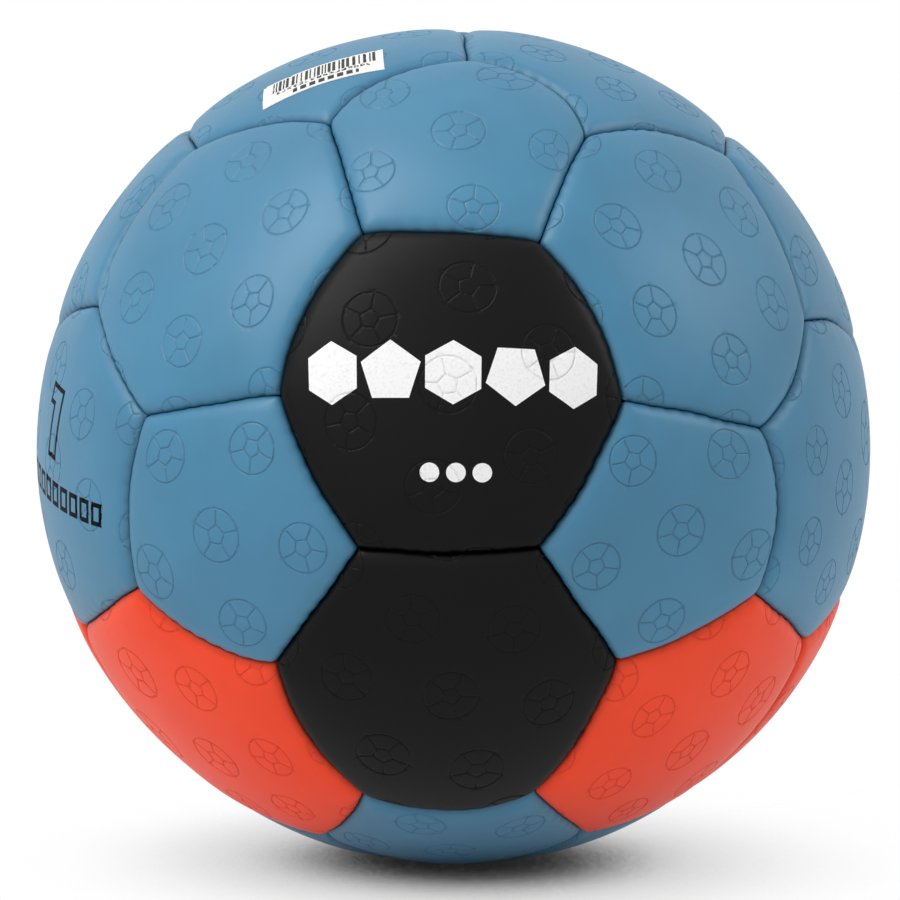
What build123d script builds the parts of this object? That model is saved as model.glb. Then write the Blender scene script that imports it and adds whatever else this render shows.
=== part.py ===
"""Hand-sewn handball: 32 padded panels round a rubber bladder with a needle valve.

Millimetres and degrees. The origin is the ball's centre, +Z is up as the ball lies,
and the front hexagon looks towards -Y, a little above the horizon.
"""

from build123d import *

import os
from itertools import combinations
from math import asin, atan, atan2, cos, degrees, floor, pi, radians, sin, sqrt, tan

# The whole ball.
girth = 510.0  # a tape measure round the pumped-up ball
front_lift = 13.2  # how far the front hexagon looks above the horizon

# Cover panels: synthetic leather with its edge turned in.
cover_t = 1.4
rim_r = 2.6  # how the leather rolls over into the seam
corner_r = 3.0  # rounding in plan, where three panels meet
seam_gap = 0.3  # between two turned-in edges

# The layers behind the leather.
foam_t = 2.2
backing_t = 1.0
layer_gap = 0.05  # glue line
bladder_gap = 0.15
bladder_t = 1.4

# Seams: thread through both turned-in edges, lying flat along their backs.
thread_t = 0.8
thread_gap = 0.05
stitch_pitch = 3.3
stitch_below_roll = 0.7
seam_end_free = 2.4  # from the last stitch to the corner of three panels

# Valve: a rubber boot on the bladder, with a plug that takes the needle.
valve_pentagon = 7  # the pentagon at the top, turned away from the front
valve_sink = 0.4  # below the leather's surface
valve_hole_gap = 0.15
needle_r = 0.95
needle_depth = 10.0
funnel_r = 1.5
funnel_t = 0.8
core_r = 2.1
core_length = 13.0
core_gap = 0.05
head_out = 0.6  # how far the core's head stands out from its shank
head_t = 1.1
ring_out = 0.5  # the ring that holds the core in its sleeve
ring_t = 1.2
ring_up = 2.0
core_tip = 0.6  # how far the core stands out below the sleeve
sleeve_wall = 1.2
collar_wall = 0.85
neck_step = 1.2  # from the collar in the leather's hole to the neck behind it
flange_r = 12.0
flange_t = 1.1

# Paper label, placed from the middle of its panel.
label_hexagon = 10  # the hexagon at the top left
label_w = 24.1
label_h = 10.2
label_t = 0.12
label_gap = 0.02
label_out = 17.4  # along the leather, from the panel's middle to the label's
label_bearing = 40.5  # which way, from the panel's +X
label_turn = 81.7  # of the label's long side, from that way

# Radii of the layers, from outside in.
ball_r = girth / (2 * pi)
cover_in_r = ball_r - cover_t
foam_out_r = cover_in_r - layer_gap
foam_in_r = foam_out_r - foam_t
backing_out_r = foam_in_r - layer_gap
backing_in_r = backing_out_r - backing_t
bladder_out_r = backing_in_r - bladder_gap
bladder_in_r = bladder_out_r - bladder_t

# The roll leaves leather outside the pocket's corner, and turns inside the plan rounding.
roll_r = min(rim_r, 2.4 * cover_t)
plan_r = max(corner_r, 1.1 * roll_r)

# Where the thread runs, measured from the middle of the seam.
half_gap = seam_gap / 2
edge_back = half_gap + cover_t
rail_mid = edge_back + thread_gap + thread_t / 2
pad_inset = edge_back + thread_t + 2 * thread_gap
stitch_r = ball_r - roll_r - stitch_below_roll
strand_r = 0.45 * thread_t  # the thread drawn tight in its hole
stitch_hole_r = strand_r + thread_gap

# The valve's pieces, from the core outwards.
head_r = core_r + head_out
groove_r = core_r + ring_out + core_gap
sleeve_r = groove_r + sleeve_wall
collar_r = head_r + core_gap + collar_wall
neck_r = max(collar_r, sleeve_r) + neck_step
valve_top = ball_r - valve_sink
core_low = valve_top - core_length
ring_z = core_low + ring_up
flange_out_r = bladder_in_r - layer_gap

# Blanks that panels and layers are cut from reach past every layer.
blank_low = 0.6 * ball_r
blank_high = 1.2 * ball_r

hexagon_sides = 6
pentagon_sides = 5
centre = Vector(0, 0, 0)


def middle_directions() -> tuple[list[Vector], list[Vector]]:
    """The middles of the 20 hexagons and 12 pentagons, numbered outwards from the front."""
    golden = (1 + sqrt(5)) / 2
    points = []
    for one in (-1, 1):
        for two in (-golden, golden):
            points += [Vector(0, one, two), Vector(one, two, 0), Vector(two, 0, one)]
    neighbours = 2.0  # distance between neighbouring points
    trios = [
        trio
        for trio in combinations(points, 3)
        if all((a - b).length < 1.1 * neighbours for a, b in combinations(trio, 2))
    ]
    hexagons = [(a + b + c).normalized() for a, b, c in trios]
    pentagons = [point.normalized() for point in points]

    front = hexagons[0]
    above = trios[0][0]
    level_up = (above - front * above.dot(front)).normalized()
    right = level_up.cross(front)
    lift = radians(front_lift)
    up = level_up * cos(lift) + front * sin(lift)
    away = up.cross(right)

    def order(direction: Vector) -> tuple[float, float]:
        ring = round(front.get_angle(direction), 2)
        clock = degrees(atan2(direction.dot(right), direction.dot(level_up)))
        return ring, round(clock, 2) % 360

    def as_it_lies(direction: Vector) -> Vector:
        return Vector(direction.dot(right), direction.dot(away), direction.dot(up))

    return (
        [as_it_lies(d) for d in sorted(hexagons, key=order)],
        [as_it_lies(d) for d in sorted(pentagons, key=order)],
    )


hexagon_middles, pentagon_middles = middle_directions()
panel_middles = hexagon_middles + pentagon_middles
hexagon_step = min(hexagon_middles[0].get_angle(d) for d in hexagon_middles[1:])
pentagon_step = min(hexagon_middles[0].get_angle(d) for d in pentagon_middles)

# From a panel's middle to the middle of its side, as an angle at the ball's centre.
hexagon_lean = radians(hexagon_step / 2)
pentagon_lean = radians(pentagon_step) - hexagon_lean
half_side = atan(sin(hexagon_lean) * tan(pi / hexagon_sides))


def frame_at(middle: Vector, towards: Vector) -> Location:
    """Stands a piece made round +Z at middle, with its +X side towards a neighbour."""
    across = towards - middle * towards.dot(middle)
    return Plane(origin=centre, x_dir=across.normalized(), z_dir=middle).location


def panel_frame(middle: Vector) -> Location:
    """Frame of a panel, with +X towards the first of its neighbours in the numbering."""
    reach = 1.05 * hexagon_step
    near = [d for d in panel_middles if 1 < middle.get_angle(d) < reach]
    return frame_at(middle, near[0])


def globe(radius: float) -> Solid:
    """A ball whose poles and seam line lie away from +Z, where pieces are cut."""
    return Rot(90, 0, 0) * Sphere(radius)


def shell(outer_r: float, inner_r: float) -> Part:
    return globe(outer_r) - globe(inner_r)


def post(radius: float, low: float, high: float) -> Part:
    """A round post along +Z between two heights."""
    return Pos(0, 0, low) * extrude(Circle(radius), high - low)


def wedge(sides: int, lean: float, inset: float) -> Part:
    """Blank with flat walls that lean out from the ball's centre, moved in by inset."""
    middle = (blank_low + blank_high) / 2
    blank = Pos(0, 0, middle) * Box(2 * blank_high, 2 * blank_high, blank_high - blank_low)
    for side in range(sides):
        square_to_wall = Rot(0, 0, 360 * side / sides) * Rot(0, degrees(lean) - 90, 0)
        blank = split(blank, bisect_by=Plane(square_to_wall * Pos(0, 0, inset)), keep=Keep.TOP)
    return blank


def stitch_angles() -> list[float]:
    """Where the stitches lie along a side, as angles from its middle."""
    reach = half_side - asin(seam_end_free / stitch_r)
    count = floor(2 * reach * stitch_r / stitch_pitch) + 1
    step = stitch_pitch / stitch_r
    return [(i - (count - 1) / 2) * step for i in range(count)]


def stitch_holes(sides: int, lean: float) -> list[Part]:
    """Pins that cut the needle holes through the turned-in edges of one panel."""
    reach = edge_back + thread_gap
    pin = Rot(90, 0, 0) * Cylinder(stitch_hole_r, 2 * reach)
    holes = []
    for side in range(sides):
        to_side = Rot(0, 0, 360 * side / sides) * Rot(0, degrees(lean), 0) * Rot(0, 0, 90)
        for angle in stitch_angles():
            holes.append(to_side * Rot(0, degrees(angle), 0) * Pos(0, 0, stitch_r) * pin)
    return holes


def cover_panel(sides: int, lean: float) -> Part:
    """A leather panel with rolled rim, turned-in edge and stitch holes, made round +Z."""
    blank = wedge(sides, lean, half_gap) & globe(ball_r)
    corners = blank.edges().filter_by(GeomType.LINE).sort_by(Axis.Z)[-sides:]
    blank = fillet(corners, plan_r)
    rim = blank.faces().filter_by(GeomType.SPHERE)[0].edges()
    blank = fillet(rim, roll_r)
    pocket = wedge(sides, lean, edge_back) & globe(cover_in_r)
    leather = blank - pocket - globe(backing_in_r)
    return leather - stitch_holes(sides, lean)


def layer(sides: int, lean: float, outer_r: float, inner_r: float) -> Part:
    """A foam pad or backing that fills its panel between the stitched edges."""
    return wedge(sides, lean, pad_inset) & shell(outer_r, inner_r)


def seam_thread() -> Part:
    """The thread of one seam: along both backs and through each pair of holes."""
    angles = stitch_angles()
    end = degrees(angles[-1] + thread_t / stitch_r)
    outer = CenterArc((0, 0), stitch_r + thread_t / 2, 90 - end, 2 * end)
    inner = CenterArc((0, 0), stitch_r - thread_t / 2, 90 - end, 2 * end)
    outline = make_face([outer, inner, Line(outer @ 0, inner @ 0), Line(outer @ 1, inner @ 1)])
    rail = extrude(Plane.XZ * outline, thread_t / 2, both=True)
    strand = Pos(0, 0, stitch_r) * Rot(90, 0, 0) * Cylinder(strand_r, 2 * rail_mid)
    thread = Pos(0, rail_mid, 0) * rail + Pos(0, -rail_mid, 0) * rail
    return thread + [Rot(0, degrees(angle), 0) * strand for angle in angles]


def seam_frames(others: list[Vector], step: float) -> list[Location]:
    """Frames of the seams between hexagons and others: +Z at the middle, +X along."""
    frames = []
    for i, hexagon in enumerate(hexagon_middles):
        for j, other in enumerate(others):
            if abs(hexagon.get_angle(other) - step) > 0.5 or (others is hexagon_middles and j < i):
                continue
            towards = (other - hexagon * other.dot(hexagon)).normalized()
            middle = hexagon * cos(hexagon_lean) + towards * sin(hexagon_lean)
            frames.append(Plane(origin=centre, x_dir=hexagon.cross(towards), z_dir=middle).location)
    return frames


def valve_boot() -> Part:
    """Rubber boot, made round +Z: flange inside the bladder, neck and collar outwards."""
    collar = post(collar_r, cover_in_r - foam_t, ball_r) & globe(valve_top)
    neck = post(neck_r, flange_out_r - flange_t, ball_r) & globe(cover_in_r - layer_gap)
    flange = post(flange_r, blank_low, ball_r) & shell(flange_out_r, flange_out_r - flange_t)
    sleeve = post(sleeve_r, core_low + core_tip, flange_out_r)
    body = neck + collar + flange + sleeve
    socket = post(core_r + core_gap, blank_low, ball_r)
    groove = Pos(0, 0, ring_z) * Cylinder(groove_r, ring_t + 2 * core_gap)
    seat = post(head_r + core_gap, valve_top - head_t - core_gap, ball_r)
    return body - socket - groove - seat


def valve_core() -> Part:
    """Rubber plug, made round +Z, with the needle's channel from its head."""
    shank = post(core_r, core_low, ball_r)
    head = post(head_r, valve_top - head_t, ball_r)
    ring = Pos(0, 0, ring_z) * Cylinder(core_r + ring_out, ring_t)
    plug = (shank + head + ring) & globe(valve_top)
    channel = post(needle_r, valve_top - needle_depth, ball_r)
    funnel = Pos(0, 0, valve_top - funnel_t / 2) * Cone(needle_r, funnel_r, funnel_t)
    return plug - channel - funnel


def label() -> Part:
    """Paper label bent round the ball, in its panel's frame."""
    under = ball_r + label_gap
    sheet = extrude(Rectangle(label_w, label_h), blank_high) & shell(under + label_t, under)
    place = Rot(0, 0, label_bearing) * Rot(0, degrees(label_out / ball_r), 0)
    return place * Rot(0, 0, label_turn) * sheet


def write(name: str, shape: Part | Compound) -> None:
    export_step(shape, f"parts/{name}.step")


def with_hole(piece: Part, radius: float) -> Part:
    return piece - post(radius, blank_low, blank_high)


os.makedirs("parts", exist_ok=True)

hexagon_cover = cover_panel(hexagon_sides, hexagon_lean)
pentagon_cover = cover_panel(pentagon_sides, pentagon_lean)

for number, middle in enumerate(hexagon_middles, start=1):
    write(f"cover_hexagon_{number:02d}", panel_frame(middle) * hexagon_cover)
for number, middle in enumerate(pentagon_middles, start=1):
    holed = with_hole(pentagon_cover, collar_r + valve_hole_gap)
    cover = holed if number == valve_pentagon else pentagon_cover
    write(f"cover_pentagon_{number:02d}", panel_frame(middle) * cover)

for kind, outer_r, inner_r in (
    ("foam", foam_out_r, foam_in_r),
    ("backing", backing_out_r, backing_in_r),
):
    hexagon_layer = layer(hexagon_sides, hexagon_lean, outer_r, inner_r)
    pentagon_layer = layer(pentagon_sides, pentagon_lean, outer_r, inner_r)
    holed = with_hole(pentagon_layer, neck_r + valve_hole_gap)
    write(f"{kind}_hexagons", Compound([panel_frame(d) * hexagon_layer for d in hexagon_middles]))
    pads = []
    for number, middle in enumerate(pentagon_middles, start=1):
        pad = holed if number == valve_pentagon else pentagon_layer
        pads.append(panel_frame(middle) * pad)
    write(f"{kind}_pentagons", Compound(pads))

thread = seam_thread()
hexagon_seams = seam_frames(hexagon_middles, hexagon_step)
pentagon_seams = seam_frames(pentagon_middles, pentagon_step)
write("threads_between_hexagons", Compound([frame * thread for frame in hexagon_seams]))
write("threads_round_pentagons", Compound([frame * thread for frame in pentagon_seams]))

valve_frame = panel_frame(pentagon_middles[valve_pentagon - 1])
bladder = shell(bladder_out_r, bladder_in_r)
write("bladder", valve_frame * with_hole(bladder, neck_r + layer_gap))
write("valve_boot", valve_frame * valve_boot())
write("valve_core", valve_frame * valve_core())
write("size_label", panel_frame(hexagon_middles[label_hexagon - 1]) * label())
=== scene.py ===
"""How a hand-sewn size 1 handball looks: leather panels, pads, threads, valve, prints and label.

Sizes are in millimetres and angles in degrees, and become metres where a mesh is made. The
origin is the ball's centre, +Z is up as the ball lies, and -Y looks towards the camera.
"""

import logging
import math
from collections.abc import Callable, Mapping, Sequence
from dataclasses import dataclass, field
from enum import Enum
from functools import partial
from itertools import combinations

import bpy
import numpy as np
from mathutils import Matrix, Vector
from mathutils.bvhtree import BVHTree
from mathutils.geometry import delaunay_2d_cdt


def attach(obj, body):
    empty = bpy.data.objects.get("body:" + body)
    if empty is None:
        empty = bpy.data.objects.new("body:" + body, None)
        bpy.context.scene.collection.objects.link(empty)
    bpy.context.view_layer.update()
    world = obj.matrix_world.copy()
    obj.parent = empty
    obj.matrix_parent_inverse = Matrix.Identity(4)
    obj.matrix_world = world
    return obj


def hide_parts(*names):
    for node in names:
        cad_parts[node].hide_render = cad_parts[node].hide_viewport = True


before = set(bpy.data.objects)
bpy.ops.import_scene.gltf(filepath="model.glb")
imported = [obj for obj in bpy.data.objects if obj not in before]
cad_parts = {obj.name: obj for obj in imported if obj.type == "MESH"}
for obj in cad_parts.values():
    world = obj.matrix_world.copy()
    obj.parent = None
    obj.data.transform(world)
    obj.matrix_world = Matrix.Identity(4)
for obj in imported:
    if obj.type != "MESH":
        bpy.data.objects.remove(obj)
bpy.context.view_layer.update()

log = logging.getLogger("handball")

MM = 0.001
BODY = "root"
WHITE_INK = "screen_printed_white_ink"
BLACK_INK = "screen_printed_black_ink"
THREAD = "twisted_waxed_thread"
FAR_IN = 99.0  # a distance to the seam at which nothing is rolled, puckered or crowned
VALVE_PANEL = "cover_pentagon_07"
LABEL_PANEL = "cover_hexagon_10"

Corner = tuple[int, int]  # pentagon, and the neighbouring pentagon that the corner looks towards
Pixel = tuple[float, float]
Adder = Callable[..., bpy.types.Node]  # add_node for one tree

MATH = "ShaderNodeMath"
VECTOR_MATH = "ShaderNodeVectorMath"
NOISE = "ShaderNodeTexNoise"


@dataclass(frozen=True)
class BallSizes:
    """Real sizes of the ball and of its sewing."""

    girth: float = 510.0
    front_lift: float = 13.2  # how far the front hexagon looks above the horizon
    seam_gap: float = 0.2
    leather: float = 1.4
    turned_in: float = 2.2  # from the bottom of the roll to the end of the turned-in edge
    roll_width: float = 2.9  # how far from the seam the leather starts to roll in
    roll_depth: float = 1.45
    crown_width: float = 12.0  # how far from the seam the padding still rounds the panel
    crown_depth: float = 0.7
    pucker_depth: float = 0.16
    stitch_pitch: float = 3.3
    stitches: int = 9
    ripple: float = 0.16
    lump: float = 0.45
    mark_depth: float = 0.3
    corner_rounding: float = 1.3
    valve_hole: float = 3.75  # radius of the hole in the leather

    @property
    def radius(self) -> float:
        """The ball's radius."""
        return self.girth / (2 * math.pi)


SIZES = BallSizes()


class Cover(Enum):
    """The cover leathers, by the record's slots."""

    BLUE = "leather_blue"
    RED = "leather_red"
    BLACK = "leather_black"


COVERS = {
    "hexagon": {Cover.BLACK: {1, 3, 17, 20}, Cover.RED: {7, 8, 18, 19}},
    "pentagon": {Cover.BLACK: set(), Cover.RED: {8, 9}},
}


# Finishes


def add_node(
    tree: bpy.types.NodeTree,
    kind: str,
    inputs: Mapping[str | int, object] | Sequence[object] = (),
    **settings: object,
) -> bpy.types.Node:
    """Adds a node with its settings and links.

    Args:
        tree: The tree that gets the node.
        kind: Blender's name of the node's type.
        inputs: What goes into its sockets, by name or by place. A node stands for its first
            output, a socket is linked, and None leaves a socket as it is.
        **settings: The node's own properties.

    Returns:
        The new node.
    """
    made = tree.nodes.new(kind)
    for name, value in settings.items():
        setattr(made, name, value)
    pairs = inputs.items() if isinstance(inputs, Mapping) else enumerate(inputs)
    for key, value in pairs:
        if isinstance(value, bpy.types.Node):
            value = value.outputs[0]
        if isinstance(value, bpy.types.NodeSocket):
            tree.links.new(value, made.inputs[key])
        elif value is not None:
            made.inputs[key].default_value = value
    return made


def linear(code: str, gain: float = 1.0) -> tuple[float, float, float, float]:
    """Turns an sRGB hex colour into a linear one.

    Args:
        code: Six hex digits.
        gain: A factor on the linear colour.

    Returns:
        Red, green, blue and an alpha of one.
    """
    made = []
    for place in (0, 2, 4):
        value = int(code[place : place + 2], 16) / 255
        value = value / 12.92 if value <= 0.04045 else ((value + 0.055) / 1.055) ** 2.4
        made.append(min(1.0, value * gain))
    return made[0], made[1], made[2], 1.0


def per_metre(size: float) -> float:
    """The scale that gives a pattern of this size in millimetres."""
    return 1 / (size * MM)


def put(name: str, data: bpy.types.ID) -> bpy.types.Object:
    """Puts an object with this data in the scene.

    Args:
        name: Its name.
        data: Its mesh, curve, lamp or camera.

    Returns:
        The object.
    """
    made = bpy.data.objects.new(name, data)
    bpy.context.scene.collection.objects.link(made)
    return made


def settle(made: bpy.types.Object, node: str) -> bpy.types.Object:
    """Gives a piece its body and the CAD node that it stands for.

    Args:
        made: The piece.
        node: The CAD node.

    Returns:
        The piece.
    """
    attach(made, BODY)
    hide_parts(node)
    log.info("%s: %d faces", made.name, len(made.data.polygons))
    return made


def empty_tree(owner: bpy.types.Material | bpy.types.World) -> Adder:
    """Empties the node tree of a material or world.

    Args:
        owner: The material or world.

    Returns:
        What adds a node to its tree.
    """
    owner.use_nodes = True
    owner.node_tree.nodes.clear()
    return partial(add_node, owner.node_tree)


@dataclass(frozen=True)
class Finish:
    """What all finishes share: a name, a colour, and a material that is made once."""

    name: str
    colour: str

    def build(self) -> bpy.types.Material:
        """Builds the material.

        Returns:
            The finished material.
        """
        material = bpy.data.materials.new(self.name)
        node = empty_tree(material)
        shader = node("ShaderNodeBsdfPrincipled", self.sockets(node))
        node("ShaderNodeOutputMaterial", {"Surface": shader})
        return material

    def sockets(self, node: Adder) -> dict[str, object]:
        """What goes into the shader's sockets."""
        raise NotImplementedError

    def toned(
        self, node: Adder, width: float, detail: float, tones: Sequence[Pixel], rough: float = 0.5
    ) -> tuple[bpy.types.NodeSocket, bpy.types.Node, bpy.types.Node]:
        """Adds a noise, and the finish's colour a little darker and lighter with it.

        Args:
            node: What adds a node to the tree.
            width: Of one of the noise's lumps.
            detail: How many octaves it has.
            tones: Two of the noise's values, each with the colour's brightness there.
            rough: How strong the finer octaves are.

        Returns:
            The place on the piece, the noise and the colour.
        """
        place = node("ShaderNodeTexCoord").outputs["Object"]
        scale = per_metre(width)
        noise = node(
            NOISE, {"Vector": place, "Scale": scale, "Detail": detail, "Roughness": rough}
        )
        tint = node("ShaderNodeValToRGB", [noise])
        for element, (stop, gain) in zip(tint.color_ramp.elements, tones):
            element.position, element.color = stop, linear(self.colour, gain)
        return place, noise, tint


@dataclass(frozen=True)
class LeatherFinish(Finish):
    """Embossed polyurethane leather: satin and finely pebbled, with painted shade darkening its
    colour in the seams and pressed marks.
    """

    roughness: float = 0.43
    shine: float = 0.4  # specular level of its top coat
    pebble: float = 0.75  # width of one grain
    pore: float = 0.28
    mottle: float = 16.0
    relief: float = 0.012
    seam_painted_shade: float = 0.74  # painted shade: how dark the colour gets at the bottom of a seam
    mark_painted_shade: float = 0.17  # painted shade: how much darker the colour is at the bottom of a pressed mark

    def sockets(self, node: Adder) -> dict[str, object]:
        """Adds mottled colour with painted shade in seams and marks, and a bump of pebbles and
        pores.

        Args:
            node: What adds a node to the tree.

        Returns:
            What goes into the shader's sockets.
        """
        place, _, tint = self.toned(node, self.mottle, 4.0, ((0.3, 0.93), (0.7, 1.06)))
        seam = node("ShaderNodeAttribute", attribute_name="seam").outputs["Fac"]
        groove = node("ShaderNodeAttribute", attribute_name="groove").outputs["Fac"]
        # Painted shade: the colour darkens towards the bottom of each seam and of each pressed
        # mark.
        value = node("ShaderNodeMapRange", [seam, 0.0, 1.2, self.seam_painted_shade, 1.0])
        value = node(MATH, [groove, -self.mark_painted_shade, value], operation="MULTIPLY_ADD")
        shaded = node("ShaderNodeHueSaturation", {"Color": tint, "Value": value})
        pebble = node(
            "ShaderNodeTexVoronoi",
            {"Vector": place, "Scale": per_metre(self.pebble)},
            feature="SMOOTH_F1",
        )
        pore = node(NOISE, {"Vector": place, "Scale": per_metre(self.pore), "Detail": 3.0})
        grain = node(MATH, [pebble, -0.8, pore], operation="MULTIPLY_ADD")
        low, high = self.roughness - 0.05, self.roughness + 0.06
        return {
            "Base Color": shaded,
            "Roughness": node("ShaderNodeMapRange", [pore, 0.3, 0.7, low, high]),
            "Normal": node(
                "ShaderNodeBump",
                {"Strength": 0.55, "Distance": self.relief * MM, "Height": grain},
            ),
            "IOR": 1.5,
            "Specular IOR Level": self.shine,
        }


@dataclass(frozen=True)
class InkFinish(Finish):
    """Screen-printed ink on leather: opaque, even, with the leather's grain still in it."""

    shine: float = 0.5
    roughness: float = 0.5
    speck: float = 0.5
    relief: float = 0.02

    def sockets(self, node: Adder) -> dict[str, object]:
        """Adds specks of the leather's grain, as colour and bump.

        Args:
            node: What adds a node to the tree.

        Returns:
            What goes into the shader's sockets.
        """
        _, grain, tint = self.toned(node, self.speck, 3.0, ((0.25, 0.86), (0.5, 1.0)))
        bump = {"Strength": 0.4, "Distance": self.relief * MM, "Height": grain}
        return {
            "Base Color": tint,
            "Roughness": self.roughness,
            "Normal": node("ShaderNodeBump", bump),
            "Specular IOR Level": self.shine,
        }


@dataclass(frozen=True)
class PlainFinish(Finish):
    """A matt stuff with one grain: rubber, foam, woven backing, waxed thread or paper."""

    roughness: float
    grain: float  # width of one grain
    relief: float
    contrast: float = 0.15

    def sockets(self, node: Adder) -> dict[str, object]:
        """Adds the grain, as colour and bump.

        Args:
            node: What adds a node to the tree.

        Returns:
            What goes into the shader's sockets.
        """
        tones = ((0.3, 1 - self.contrast), (0.7, 1 + self.contrast))
        _, grain, tint = self.toned(node, self.grain, 4.0, tones, 0.6)
        bump = {"Strength": 0.6, "Distance": self.relief * MM, "Height": grain}
        return {
            "Base Color": tint,
            "Roughness": self.roughness,
            "Normal": node("ShaderNodeBump", bump),
        }


@dataclass
class Finishes:
    """Every finish of the ball, made once."""

    leather: dict[Cover, bpy.types.Material] = field(default_factory=dict)
    plain: dict[str, bpy.types.Material] = field(default_factory=dict)

    def __post_init__(self) -> None:
        """Builds the materials."""
        # Polyurethane cast on embossed paper: a satin skin with fine pebbles and soft highlights.
        for cover, colour, roughness, shine in (
            (Cover.BLUE, "3f80a2", 0.45, 0.52),
            (Cover.RED, "ff4a26", 0.46, 0.25),
            (Cover.BLACK, "050506", 0.42, 0.14),
        ):
            finish = LeatherFinish(f"cast_pu_{cover.value}", colour, roughness, shine)
            self.leather[cover] = finish.build()
        for finish in (
            # Screen-printed ink: flat, even colour that lets the leather's grain through.
            InkFinish(WHITE_INK, "fbfbfa"),
            InkFinish(BLACK_INK, "040405", 0.04),
            # Foam cut from a sliced block: chalky, with open cells.
            PlainFinish("sliced_eva_foam", "d9d6cd", 0.9, 1.2, 0.10),
            # Plain weave of cotton and polyester: dull, with a fine tooth.
            PlainFinish("woven_polycotton", "e6e2d6", 0.85, 0.45, 0.08),
            # Twisted thread pulled through wax: dark, with a slight sheen on its plies.
            PlainFinish(THREAD, "2a3138", 0.6, 0.25, 0.05, 0.3),
            # Rubber dipped in a mould: dusty dark grey.
            PlainFinish("dipped_butyl_rubber", "2c2b2a", 0.65, 0.8, 0.03),
            # Rubber pressed in a steel mould: smoother and darker than the bladder.
            PlainFinish("moulded_valve_rubber", "1f1f20", 0.55, 0.5, 0.02),
            # Clay-coated paper: bright and even, with hardly any tooth.
            PlainFinish("clay_coated_paper", "f4f4f1", 0.55, 0.3, 0.008, 0.03),
            # Thermal print: dull grey-black bars.
            PlainFinish("thermal_label_print", "1b1b1c", 0.6, 0.3, 0.005, 0.1),
        ):
            self.plain[finish.name] = finish.build()


# Where the photograph was taken from


@dataclass(frozen=True)
class PhotoCamera:
    """The camera that the photograph was taken with, as fitted to the panels' corners."""

    azimuth: float = 0.70
    elevation: float = 5.50
    roll: float = 0.523
    distance: float = 979.4
    lens: float = 201.06
    sensor: float = 36.0
    image: float = 900.0
    ball_centre: Pixel = (454.3, 446.2)

    def axes(self) -> tuple[np.ndarray, np.ndarray, np.ndarray]:
        """Works out how the camera is turned.

        Returns:
            The camera's right, up and back, as unit vectors.
        """
        azimuth, elevation, roll = np.radians((self.azimuth, self.elevation, self.roll))
        level = math.cos(elevation)
        back = np.array(
            [math.sin(azimuth) * level, -math.cos(azimuth) * level, math.sin(elevation)]
        )
        level_right = np.array([math.cos(azimuth), math.sin(azimuth), 0.0])
        level_up = np.cross(back, level_right)
        right = math.cos(roll) * level_right + math.sin(roll) * level_up
        return right, np.cross(back, right), back

    def sight(self, pixel: Pixel) -> np.ndarray:
        """Works out the line of sight through a pixel.

        Args:
            pixel: A place in the photograph.

        Returns:
            Its direction, as a unit vector.
        """
        right, up, back = self.axes()
        focal = self.lens / self.sensor * self.image
        across = (pixel[0] - self.ball_centre[0]) / focal
        along = (self.ball_centre[1] - pixel[1]) / focal
        sight = right * across + up * along - back
        return sight / np.linalg.norm(sight)

    def on_ball(self, pixel: Pixel, radius: float) -> np.ndarray:
        """Finds where the line of sight through a pixel meets the ball.

        Args:
            pixel: A place in the photograph.
            radius: Of the ball there.

        Returns:
            The direction of that point from the ball's centre, as a unit vector. A pixel just
            outside gives the nearest point of the ball's outline.
        """
        sight = self.sight(pixel)
        start = self.axes()[2] * self.distance
        half = start @ sight
        depth = max(0.0, half * half - start @ start + radius * radius)
        reach = -half - math.sqrt(depth)
        point = start + sight * reach
        return point / np.linalg.norm(point)

    def build(self) -> None:
        """Makes the camera and gives it to the scene."""
        data = bpy.data.cameras.new("photograph")
        data.lens = self.lens
        data.sensor_width = self.sensor
        data.shift_x = (self.image / 2 - self.ball_centre[0]) / self.image
        data.shift_y = (self.ball_centre[1] - self.image / 2) / self.image
        data.clip_start = 0.01
        camera = put("photograph", data)
        right, up, back = (Vector(axis) for axis in self.axes())
        turned = Matrix((right, up, back)).transposed()
        camera.matrix_world = Matrix.Translation(back * self.distance * MM) @ turned.to_4x4()
        bpy.context.scene.camera = camera


# How the panels lie


# Seam corners read off the photograph. The ones left out lie where the even layout puts them.
READ_CORNERS: dict[Corner, Pixel] = {
    (1, 3): (363, 233),
    (1, 2): (539.5, 242),
    (2, 1): (623, 400),
    (2, 3): (539.5, 548),
    (3, 2): (358, 549),
    (3, 1): (279, 395),
    (1, 6): (330, 123.4),
    (1, 4): (585, 137.2),
    (1, 7): (467.2, 64.6),
    (4, 1): (725, 156.4),
    (4, 2): (803, 321),
    (2, 4): (761, 428),
    (2, 8): (755.8, 593.6),
    (2, 5): (617.5, 661),
    (8, 2): (803, 638),
    (5, 2): (533.9, 791),
    (5, 8): (582, 829),
    (6, 3): (98.9, 307.1),
    (3, 6): (145.5, 416),
    (3, 9): (137.8, 587.3),
    (3, 5): (275, 663.5),
    (5, 3): (364, 793),
    (6, 1): (197.5, 150.5),
    (6, 9): (52, 330),
    (9, 3): (86.5, 626),
    (9, 5): (250, 805),
    (5, 9): (326, 831),
    (4, 8): (856, 343),
    (8, 4): (846, 593),
    (8, 5): (668, 800),
}
READ_CORNER_DEPTH = 1.6  # of the seam corners below the crown

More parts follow.
